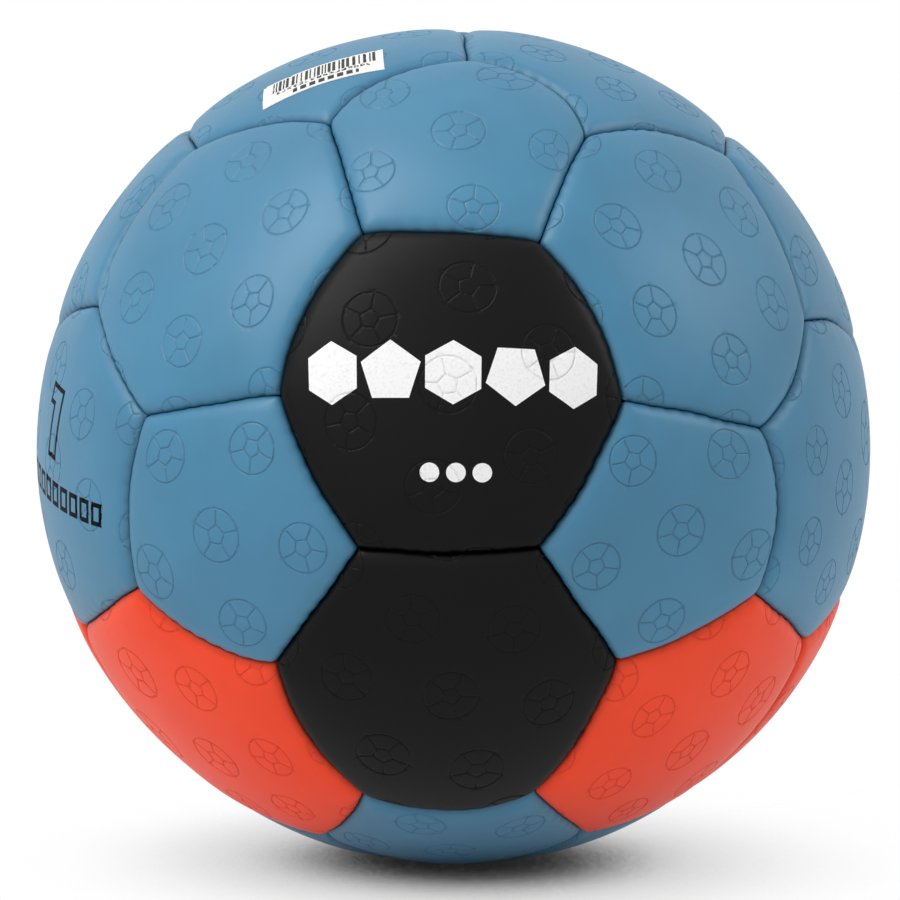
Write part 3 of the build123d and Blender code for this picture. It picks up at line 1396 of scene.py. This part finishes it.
class FormTree:
    """A node tree that shapes pieces, with named inputs that are set by their identifiers."""

    def start(self, name: str, inputs: Mapping[str, object], shades: Sequence[str]) -> None:
        """Makes the tree and fills it.

        Args:
            name: Its name.
            inputs: The value of each of its numbers.
            shades: The names of its materials, the one for all faces first.
        """
        self.tree = bpy.data.node_groups.new(name, "GeometryNodeTree")
        faces = self.tree.interface
        for way in ("INPUT", "OUTPUT"):
            faces.new_socket("Geometry", in_out=way, socket_type="NodeSocketGeometry")
        self.sockets = {}
        for label, value in (*inputs.items(), *((shade, None) for shade in shades)):
            kind = {int: "Int", float: "Float"}.get(type(value), "Material")
            made = faces.new_socket(label, in_out="INPUT", socket_type=f"NodeSocket{kind}")
            self.sockets[label] = (made.identifier, value)
        node = partial(add_node, self.tree)
        given = node("NodeGroupInput").outputs
        smooth = node("GeometryNodeSetShadeSmooth", {"Geometry": self.shape(node, given)})
        made = node("GeometryNodeRealizeInstances", [smooth])
        for shade in shades:
            chosen = None
            if shade == "Ink":
                named = {"Name": "inked"}
                chosen = node("GeometryNodeInputNamedAttribute", named, data_type="BOOLEAN")
            dress = {"Geometry": made, "Selection": chosen, "Material": given[shade]}
            made = node("GeometryNodeSetMaterial", dress)
        node("NodeGroupOutput", [made])

    def shape(self, node: Adder, given: bpy.types.bpy_prop_collection) -> bpy.types.Node:
        """Adds the nodes that give the shape, and returns the last."""
        raise NotImplementedError

    def run(self, piece: bpy.types.Object, **shades: bpy.types.Material) -> bpy.types.Mesh:
        """Runs the tree on an object, which stays as it was.

        Args:
            piece: The object.
            **shades: What goes into the tree's materials.

        Returns:
            The mesh that comes out.
        """
        modifier = piece.modifiers.new("form", "NODES")
        modifier.node_group = self.tree
        for name, (identifier, value) in self.sockets.items():
            modifier[identifier] = shades.get(name, value)
        bpy.context.view_layer.update()
        depsgraph = bpy.context.evaluated_depsgraph_get()
        mesh = bpy.data.meshes.new_from_object(
            piece.evaluated_get(depsgraph), preserve_all_data_layers=True, depsgraph=depsgraph
        )
        piece.modifiers.clear()
        return mesh

    def apply(self, piece: bpy.types.Object, **shades: bpy.types.Material) -> None:
        """Keeps what the tree makes of a piece as its mesh.

        Args:
            piece: An object with a mesh.
            **shades: What goes into the tree's materials.
        """
        old = piece.data
        piece.data = self.run(piece, **shades)
        bpy.data.meshes.remove(old)
        piece.data.name = piece.name


@dataclass
class SewnForm(FormTree):
    """The rule that gives the leather its shape: padded crown, rolled rim, puckers and marks."""

    sizes: BallSizes = SIZES
    seed: int = 7

    # The rule's steps: what each gives, its operation, and its terms.
    STEPS = (
        # Nearness to the seam, from 0 where the roll starts to 1 in the seam.
        ("roll share", "DIVIDE", "seam", "Roll width"),
        ("near", "SUBTRACT clamped", 1.0, "roll share"),
        ("near squared", "POWER", "near", 2.0),
        ("rest", "SUBTRACT clamped", 1.0, "near squared"),
        ("arc", "SQRT", "rest"),
        ("fall", "SUBTRACT", 1.0, "arc"),
        ("roll", "MULTIPLY", "fall", "Roll depth"),
        ("crown share", "DIVIDE", "seam", "Crown width"),
        ("off crown", "SUBTRACT clamped", 1.0, "crown share"),
        ("off crown", "POWER", "off crown", 2.2),
        ("sunk", "MULTIPLY_ADD", "off crown", "Crown depth", "roll"),
        # Puckers: the thread draws the leather in at every stitch.
        ("share", "DIVIDE", "along", "Stitch pitch"),
        ("turned", "MULTIPLY", "share", 2 * math.pi),
        ("wave", "COSINE", "turned"),
        ("wave", "MULTIPLY_ADD", "wave", 0.5, 0.5),
        ("pinch", "MULTIPLY", "wave", "hold"),
        ("pinch", "MULTIPLY", "pinch", "near squared"),
        ("pinch", "MULTIPLY_ADD", "pinch", "Pucker depth", "sunk"),
        ("pressed", "MULTIPLY_ADD", "groove", "Mark depth", "pinch"),
        ("deep", "ADD", "pressed", "inward"),
        # Unevenness: long lumps all over, short ripples where the leather rolls in.
        ("lump", "SUBTRACT", "lumps", 0.5),
        ("lump", "MULTIPLY", "lump", "Lump"),
        ("ripple", "SUBTRACT", "ripples", 0.5),
        ("ripple", "MULTIPLY", "ripple", "off crown"),
        ("ripple", "MULTIPLY_ADD", "ripple", "Ripple", "lump"),
        ("radius", "SUBTRACT", "Ball radius", "deep"),
        ("radius", "ADD", "radius", "ripple"),
        ("radius", "MULTIPLY", "radius", MM),
    )

    def __post_init__(self) -> None:
        """Builds the node tree."""
        inputs = {
            "Ball radius": self.sizes.radius,
            "Roll width": self.sizes.roll_width,
            "Roll depth": self.sizes.roll_depth,
            "Crown width": self.sizes.crown_width,
            "Crown depth": self.sizes.crown_depth,
            "Pucker depth": self.sizes.pucker_depth,
            "Stitch pitch": self.sizes.stitch_pitch,
            "Mark depth": self.sizes.mark_depth,
            "Ripple": self.sizes.ripple,
            "Lump": self.sizes.lump,
            "Seed": float(self.seed),
        }
        self.start("sewn_form", inputs, ("Stuff", "Ink"))

    def shape(self, node: Adder, given: bpy.types.bpy_prop_collection) -> bpy.types.Node:
        """Adds the nodes that lift points off the unit ball.

        Args:
            node: What adds a node to the tree.
            given: The tree's inputs.

        Returns:
            The last node.
        """
        values = {socket.name: socket for socket in given}
        for name in Skin.ATTRIBUTES:
            values[name] = node(
                "GeometryNodeInputNamedAttribute", {"Name": name}, data_type="FLOAT"
            )
        at = node("GeometryNodeInputPosition")
        for name, scale, detail in (("lumps", 2.4, 1.0), ("ripples", 26.0, 2.0)):
            noise = {"Vector": at, "W": given["Seed"], "Scale": scale, "Detail": detail}
            values[name] = node(NOISE, noise, noise_dimensions="4D")
        for name, step, *terms in self.STEPS:
            operation, *clamped = step.split()
            terms = [values[term] if isinstance(term, str) else term for term in terms]
            values[name] = node(MATH, terms, operation=operation, use_clamp=bool(clamped))
        unit = node(VECTOR_MATH, [at], operation="NORMALIZE")
        place = node(VECTOR_MATH, {0: unit, "Scale": values["radius"]}, operation="SCALE")
        return node(
            "GeometryNodeSetPosition", {"Geometry": given["Geometry"], "Position": place}
        )


@dataclass
class PadLayer:
    """The foam pads or the woven backings behind all panels of one kind."""

    kind: str
    node: str
    finish: str
    slot: str
    outer: float  # below the ball's surface
    inner: float
    fill: float = 0.95
    inset: float = 2.5
    room: float = 4.5  # between two points
    valve_hole: float = 5.2

    def build(
        self, panels: Sequence[Panel], form: SewnForm, finishes: Finishes
    ) -> bpy.types.Object:
        """Builds all pads as one piece.

        Args:
            panels: The ball's panels.
            form: The rule that lifts them off the unit ball.
            finishes: The finishes.

        Returns:
            The piece.
        """
        skin = Skin()
        for panel in panels:
            if panel.kind != self.kind:
                continue
            hole = self.valve_hole if panel.name == VALVE_PANEL else 0.0
            edges = [panel.ring(self.inset, 1.0, 8, 2)]
            if hole:
                edges.append(regular(32, hole, (0.0, 0.0), 0.0))
            kept, loops = gather(edges)
            grid = panel.grid(self.room, self.inset + 2.0, hole, 1.0)
            points = np.concatenate([kept, grid])
            places, corners, went = triangles(points, loops, hole)
            top = skin.add_points(panel, places, self.outer, seam=FAR_IN)
            bottom = skin.add_points(panel, places, self.inner, seam=FAR_IN)
            skin.add_faces(corners + top)
            skin.add_faces(corners[:, ::-1] + bottom)
            for number, loop in enumerate(loops):
                edge = went[list(loop)]
                skin.bridge(edge + top, edge + bottom, turned=number > 0)
        made = skin.build(f"pads_{self.node}")
        stuff = finishes.plain[self.finish]
        form.apply(made, Stuff=stuff, Ink=stuff)
        settle(made, self.node)
        return made


@dataclass
class SeamThreads(FormTree):
    """Flat ladder stitching: a thread along each turned-in edge, and one through each hole."""

    thread: float = 0.8
    rail: float = 1.95  # from the middle of the seam to the thread behind the leather
    depth: float = 3.3  # below the ball's surface
    end_free: float = 2.4

    def __post_init__(self) -> None:
        """Builds the node tree."""
        inputs = {
            "Thread radius": self.thread / 2 * MM,
            "Half width": self.rail * MM,
            "Stitches": SIZES.stitches,
        }
        self.start("seam_threads", inputs, ("Stuff",))

    def shape(self, node: Adder, given: bpy.types.bpy_prop_collection) -> bpy.types.Node:
        """Adds the nodes that make threads of the seams' curves.

        Args:
            node: What adds a node to the tree.
            given: The tree's inputs.

        Returns:
            The last node.
        """
        width = given["Half width"]
        at = node("GeometryNodeInputPosition")
        way = node("GeometryNodeInputTangent")
        side = node(VECTOR_MATH, [way, at], operation="CROSS_PRODUCT")
        side = node(VECTOR_MATH, [side], operation="NORMALIZE")
        profile = node(
            "GeometryNodeCurvePrimitiveCircle", {"Resolution": 6, "Radius": given["Thread radius"]}
        )
        lines = []
        for sign in (-1.0, 1.0):
            reach = node(MATH, [width, sign], operation="MULTIPLY")
            shift = node(VECTOR_MATH, {0: side, "Scale": reach}, operation="SCALE")
            moved = {"Geometry": given["Geometry"], "Offset": shift}
            lines.append(node("GeometryNodeSetPosition", moved))
        low = node(MATH, [width, -1.0], operation="MULTIPLY")
        start = node("ShaderNodeCombineXYZ", {"X": low})
        end = node("ShaderNodeCombineXYZ", {"X": width})
        lines.append(node("GeometryNodeCurvePrimitiveLine", {"Start": start, "End": end}))
        tube = {"Profile Curve": profile, "Fill Caps": True}
        *rails, strand = [
            node("GeometryNodeCurveToMesh", {"Curve": line, **tube}) for line in lines
        ]
        stops = node(
            "GeometryNodeCurveToPoints",
            {"Curve": given["Geometry"], "Count": given["Stitches"]},
            mode="COUNT",
        ).outputs
        across = node(VECTOR_MATH, [stops["Tangent"], at], operation="CROSS_PRODUCT")
        turned = node("FunctionNodeAlignRotationToVector", {"Vector": across}, axis="X")
        placed = {"Points": stops["Points"], "Instance": strand, "Rotation": turned}
        strands = node("GeometryNodeInstanceOnPoints", placed)
        joined = node("GeometryNodeJoinGeometry")
        for part in (strands, *rails):
            self.tree.links.new(part.outputs[0], joined.inputs[0])
        return joined

    def build(
        self, name: str, node: str, seams: Sequence[Seam], finishes: Finishes
    ) -> bpy.types.Object:
        """Sews some of the seams.

        Args:
            name: The piece's name.
            node: The CAD node that it stands for.
            seams: The seams.
            finishes: The finishes.

        Returns:
            The piece.
        """
        curve = bpy.data.curves.new(name, "CURVE")
        curve.dimensions = "3D"
        for seam in seams:
            free = self.end_free / seam.length
            points = seam.path(np.linspace(free, 1 - free, 25)) * (SIZES.radius - self.depth) * MM
            spline = curve.splines.new("POLY")
            spline.points.add(len(points) - 1)
            for point, place in zip(spline.points, points):
                point.co = (*place, 1.0)
        line = put(f"{name}_line", curve)
        mesh = self.run(line, Stuff=finishes.plain[THREAD])
        bpy.data.objects.remove(line)
        mesh.materials.clear()
        mesh.materials.append(finishes.plain[THREAD])
        return settle(put(name, mesh), node)


@dataclass
class PaperLabel:
    """A white paper label with plain bars, stuck on a panel and bent with it."""

    camera: PhotoCamera
    width: float = 24.0
    height: float = 11.2
    thickness: float = 0.12
    glue: float = 0.02
    step: float = 0.3

    def laid(
        self, leather: bpy.types.Object, across: int, up: int
    ) -> tuple[np.ndarray, np.ndarray]:
        """Lays the label on the leather, between the corners that were read.

        Args:
            leather: The panel's finished leather.
            across: How many steps the label has from left to right.
            up: How many it has from bottom to top.

        Returns:
            Points of its back and of its front, row by row.
        """
        tree = BVHTree.FromPolygons(
            [vertex.co for vertex in leather.data.vertices],
            [tuple(face.vertices) for face in leather.data.polygons],
        )
        eye = Vector(self.camera.axes()[2] * self.camera.distance * MM)
        seen = [tree.ray_cast(eye, Vector(self.camera.sight(at)))[0] for at in LABEL_CORNERS]
        corners = [place.normalized() for place in seen]
        right, high = np.meshgrid(np.linspace(0, 1, across + 1), np.linspace(0, 1, up + 1))
        right, high = right.ravel(), high.ravel()
        shares = [(1 - right) * (1 - high), right * (1 - high), right * high, (1 - right) * high]
        directions = np.array(shares).T @ np.array(corners)
        directions /= np.linalg.norm(directions, axis=1)[:, None]
        heights = []
        for direction in directions:
            ray = Vector(direction)
            hit = tree.ray_cast(ray * SIZES.radius * MM * 1.2, -ray)[0]
            heights.append(hit.length if hit else SIZES.radius * MM)
        low = np.array(heights)[:, None] * directions + directions * self.glue * MM
        return low, low + directions * self.thickness * MM

    def printed(self, across: int, up: int) -> np.ndarray:
        """Which of the label's cells are black.

        Args:
            across: How many cells it has from left to right.
            up: How many it has from bottom to top.

        Returns:
            True for each cell of a bar, of the small blocks under them or of the bold ones.
        """
        rng = np.random.default_rng(12)
        runs = np.repeat(np.arange(across) % 2 == 0, rng.integers(1, 3, across))[:across]
        blocks = rng.random((across, up)) < 0.7
        made = np.zeros((up, across), bool)
        for j in range(up):
            for i in range(across):
                right, level = i / across, j / up
                barred = 0.07 < right < 0.96 and 0.42 < level < 0.92 and runs[i]
                small = 0.12 < right < 0.88 and i % 4 and 0.28 < level < 0.38 and blocks[i, j]
                bold = 0.26 < right < 0.8 and i % 6 > 1 and 0.06 < level < 0.22
                made[j, i] = barred or small or bold
        return made

    def build(self, leather: bpy.types.Object, finishes: Finishes) -> bpy.types.Object:
        """Builds the label on the leather under it.

        Args:
            leather: The panel's finished leather.
            finishes: The finishes.

        Returns:
            The piece.
        """
        across = round(self.width / self.step)
        up = round(self.height / self.step)
        low, high = self.laid(leather, across, up)
        count = len(low)
        rows = np.arange(count).reshape(up + 1, across + 1)
        cells = [rows[:-1, :-1], rows[:-1, 1:], rows[1:, 1:], rows[1:, :-1]]
        cells = np.stack(cells, axis=-1).reshape(-1, 4)
        edge = np.concatenate([rows[0], rows[1:, -1], rows[-1, -2::-1], rows[-2:0:-1, 0]])
        after = np.roll(edge, -1)
        walls = np.stack([edge, after, count + after, count + edge], axis=1)
        fronts_and_backs = np.stack([cells + count, cells[:, ::-1]], axis=1).reshape(-1, 4)
        mesh = bpy.data.meshes.new("paper_label")
        mesh.from_pydata(
            np.concatenate([low, high]).tolist(), [], [*fronts_and_backs.tolist(), *walls.tolist()]
        )
        for stuff in ("clay_coated_paper", "thermal_label_print"):
            mesh.materials.append(finishes.plain[stuff])
        black = np.zeros(len(mesh.polygons), int)
        black[: 2 * len(cells) : 2] = self.printed(across, up).ravel()
        mesh.polygons.foreach_set("material_index", black)
        return settle(put("paper_label", mesh), "size_label")


@dataclass(frozen=True)
class Studio:
    """Plain pale floor and soft light, as in a product photograph."""

    floor_size: float = 60.0

    def lamp(
        self,
        name: str,
        towards: tuple[float, float, float],
        away: float,
        size: tuple[float, float],
        power: float,
    ) -> None:
        """Adds a soft lamp that looks at the ball.

        Args:
            name: Its name.
            towards: Its direction from the ball.
            away: Its distance in metres.
            size: Its width and height in metres.
            power: Its power in watts.
        """
        data = bpy.data.lights.new(name, "AREA")
        data.shape = "RECTANGLE"
        data.size, data.size_y = size
        data.energy = power
        lamp = put(name, data)
        direction = Vector(towards).normalized()
        lamp.location = direction * away
        lamp.rotation_mode = "QUATERNION"
        lamp.rotation_quaternion = direction.to_track_quat("Z", "Y")

    def shown(self, node: Adder) -> bpy.types.Node:
        """Tells the rays that show the background from those that light the ball.

        Args:
            node: What adds a node to a material's or the world's tree.

        Returns:
            A node that gives 1 for camera, glossy and transmission rays.
        """
        ray = node("ShaderNodeLightPath").outputs
        mirrored = [ray["Is Glossy Ray"], ray["Is Transmission Ray"]]
        mirrored = node(MATH, mirrored, operation="MAXIMUM")
        return node(MATH, [ray["Is Camera Ray"], mirrored], operation="MAXIMUM")

    def floor(self) -> None:
        """Makes the floor, with a painted shadow of the ball drawn from the sky that each place of
        it sees.
        """
        low = -SIZES.radius * MM
        half = self.floor_size / 2
        mesh = bpy.data.meshes.new("studio_floor")
        mesh.from_pydata(
            [(-half, -half, low), (half, -half, low), (half, half, low), (-half, half, low)],
            [],
            [(0, 1, 2, 3)],
        )
        # Matt white paint on a smooth floor: bright and even, with no gloss.
        material = bpy.data.materials.new("painted_floor")
        node = empty_tree(material)
        pale = node("ShaderNodeBsdfDiffuse", {"Color": (0.92, 0.915, 0.91, 1)})
        # Camera, glossy and transmission rays see an emission: a painted shadow of the ball near
        # it, and plain white further out.
        place = node("ShaderNodeTexCoord").outputs["Object"]
        sky = node("ShaderNodeAmbientOcclusion", {"Distance": 1.0}, samples=12).outputs["AO"]
        # Painted shadow shifted sideways: it gets darker towards +x.
        painted_shadow_shift = node(VECTOR_MATH, [place, (-0.5, 0, 0)], operation="DOT_PRODUCT")
        open_sky = node(MATH, [sky, painted_shadow_shift.outputs["Value"]], operation="ADD")
        painted_shadow = node("ShaderNodeValToRGB", [open_sky])
        ramp = painted_shadow.color_ramp.elements
        for stop, grey in ((0.15, 0.03), (0.167, 0.16), (0.19, 0.56), (0.36, 0.73)):
            ramp.new(stop).color = (grey, grey, grey, 1)
        ramp[0].position, ramp[0].color = 0.11, (0.012, 0.012, 0.012, 1)
        ramp[-1].position = 0.6
        # The painted shadow, shown as emission near the ball.
        near = node("ShaderNodeEmission", {"Color": painted_shadow})
        white = node("ShaderNodeEmission", {"Color": (1, 1, 1, 1), "Strength": 1.0})
        flat = node(VECTOR_MATH, [place, (1, 1, 0)], operation="MULTIPLY")
        away = node(VECTOR_MATH, [flat], operation="LENGTH").outputs["Value"]
        far = node("ShaderNodeMapRange", [away, 0.12, 0.45])
        shown = node("ShaderNodeMixShader", [far, near, white])
        mixed = node("ShaderNodeMixShader", [self.shown(node), pale, shown])
        node("ShaderNodeOutputMaterial", {"Surface": mixed})
        mesh.materials.append(material)
        put("studio_floor", mesh)

    def build(self) -> None:
        """Makes the floor, the world and the lamps."""
        self.floor()
        world = bpy.data.worlds.new("studio")
        node = empty_tree(world)
        soft = node("ShaderNodeBackground", {"Color": (0.97, 0.98, 1.0, 1), "Strength": 0.40})
        white = node("ShaderNodeBackground", {"Color": (1, 1, 1, 1), "Strength": 1.0})
        mixed = node("ShaderNodeMixShader", [self.shown(node), soft, white])
        node("ShaderNodeOutputWorld", {"Surface": mixed})
        bpy.context.scene.world = world
        bpy.context.scene.view_settings.view_transform = "Standard"

        self.lamp("key", (-0.49, -0.33, 0.805), 1.25, (0.45, 1.1), 9.8)
        self.lamp("front", (-0.45, -0.85, 0.25), 1.4, (1.4, 1.4), 2.0)
        self.lamp("fill", (0.80, -0.08, 0.58), 1.5, (0.6, 0.6), 4.4)


def dress_valve(finishes: Finishes) -> None:
    """Gives the rubber pieces that keep their CAD shape their finish.

    Args:
        finishes: The finishes.
    """
    for node, finish in (
        ("bladder", "dipped_butyl_rubber"),
        ("valve_boot", "moulded_valve_rubber"),
        ("valve_core", "moulded_valve_rubber"),
    ):
        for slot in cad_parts[node].material_slots:
            slot.link = "OBJECT"
            slot.material = finishes.plain[finish]
            log.info("dressed %s with %s", node, finish)


def main() -> None:
    """Builds the ball's pieces in order and reports each."""
    logging.basicConfig(level=logging.INFO, format="%(name)s: %(message)s")
    camera = PhotoCamera()
    camera.build()
    Studio().build()
    layout = Layout(camera)
    finishes = Finishes()
    form = SewnForm()
    for panel in layout.panels:
        hole = SIZES.valve_hole if panel.name == VALVE_PANEL else 0.0
        made = CoverPanel(panel, finishes, form, valve_hole=hole).build()
        if panel.name == LABEL_PANEL:
            PaperLabel(camera).build(made, finishes)
    for kind in ("hexagon", "pentagon"):
        for layer in (
            PadLayer(kind, f"foam_{kind}s", "sliced_eva_foam", "foam", 2.25, 3.7),
            PadLayer(kind, f"backing_{kind}s", "woven_polycotton", "backing", 3.8, 4.6),
        ):
            layer.build(layout.panels, form, finishes)
    threads = SeamThreads()
    mixed = {key: seam for key, seam in layout.seams.items() if key[0][0] == key[1][0]}
    plain = {key: seam for key, seam in layout.seams.items() if key not in mixed}
    for where, seams in (("between_hexagons", plain), ("round_pentagons", mixed)):
        threads.build(f"thread_{where}", f"threads_{where}", list(seams.values()), finishes)
    dress_valve(finishes)


if __name__ == "__main__":
    main()
